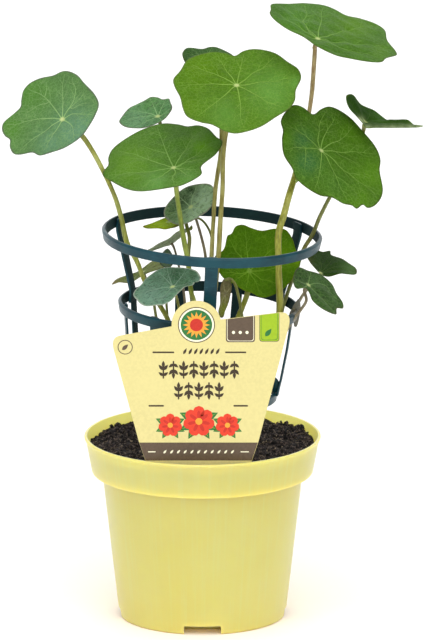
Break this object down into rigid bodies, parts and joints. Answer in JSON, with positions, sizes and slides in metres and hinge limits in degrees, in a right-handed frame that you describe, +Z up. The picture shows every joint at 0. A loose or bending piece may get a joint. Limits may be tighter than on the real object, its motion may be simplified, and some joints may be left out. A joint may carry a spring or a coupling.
{
  "type": "potted nasturtium plant",
  "caption": "Young nasturtium with round, long-stalked leaves growing through a plastic trellis cage in a yellow nursery pot of peat, with a pale plant label standing at the front.",
  "frame": {"origin": "centre of the pot's flat base, on the surface it stands on", "axes": "+Z up along the pot's axis, -Y towards the viewer, who reads the label, +X to the viewer's right"},
  "size_m": [0.2136, 0.12, 0.3109],
  "materials": {
    "pot_plastic": "satin",
    "peat": "matte",
    "label_plastic": "satin",
    "trellis_plastic": "satin",
    "stalk": "satin",
    "leaf_green": "satin",
    "leaf_bright": "satin",
    "leaf_grey": "satin",
    "leaf_withered": "matte"
  },
  "bodies": {
    "root": {"pot": "pot_plastic", "plant_label": "label_plastic", "trellis_ring_top": "trellis_plastic", "trellis_ring_middle": "trellis_plastic", "trellis_ring_bottom": "trellis_plastic", "trellis_upper_strap_1": "trellis_plastic", "trellis_upper_strap_2": "trellis_plastic", "trellis_upper_strap_3": "trellis_plastic", "trellis_lower_strap_1": "trellis_plastic", "trellis_lower_strap_2": "trellis_plastic", "trellis_lower_strap_3": "trellis_plastic", "trellis_lower_strap_4": "trellis_plastic", "trellis_lower_strap_5": "trellis_plastic", "trellis_lower_strap_6": "trellis_plastic", "trellis_lower_strap_7": "trellis_plastic", "trellis_lower_strap_8": "trellis_plastic", "trellis_lower_strap_9": "trellis_plastic", "trellis_spike_1": "trellis_plastic", "trellis_spike_2": "trellis_plastic", "trellis_spike_3": "trellis_plastic", "soil": "peat", "stem_left": "stalk", "stem_centre": "stalk", "stem_right": "stalk", "leaf_far_left": "leaf_green", "stalk_far_left": "stalk", "leaf_left_broad": "leaf_green", "stalk_left_broad": "stalk", "leaf_top_centre": "leaf_green", "stalk_top_centre": "stalk", "leaf_behind_centre": "leaf_green", "stalk_behind_centre": "stalk", "leaf_left_small": "leaf_grey", "stalk_left_small": "stalk", "leaf_top_right": "leaf_green", "stalk_top_right": "stalk", "leaf_right_broad": "leaf_green", "stalk_right_broad": "stalk", "leaf_far_right_folded": "leaf_green", "stalk_far_right_folded": "stalk", "leaf_inner_left": "leaf_green", "stalk_inner_left": "stalk", "leaf_young_tip": "leaf_bright", "stalk_young_tip": "stalk", "leaf_edge_on": "leaf_grey", "stalk_edge_on": "stalk", "leaf_low_left_back": "leaf_grey", "stalk_low_left_back": "stalk", "leaf_low_left_front": "leaf_grey", "stalk_low_left_front": "stalk", "leaf_inner_right": "leaf_bright", "stalk_inner_right": "stalk", "leaf_right_small": "leaf_green", "stalk_right_small": "stalk", "leaf_low_right": "leaf_grey", "stalk_low_right": "stalk", "leaf_withered": "leaf_withered", "stalk_withered": "stalk", "leaf_tiny": "leaf_green", "stalk_tiny": "stalk"}
  },
  "joints": []
}
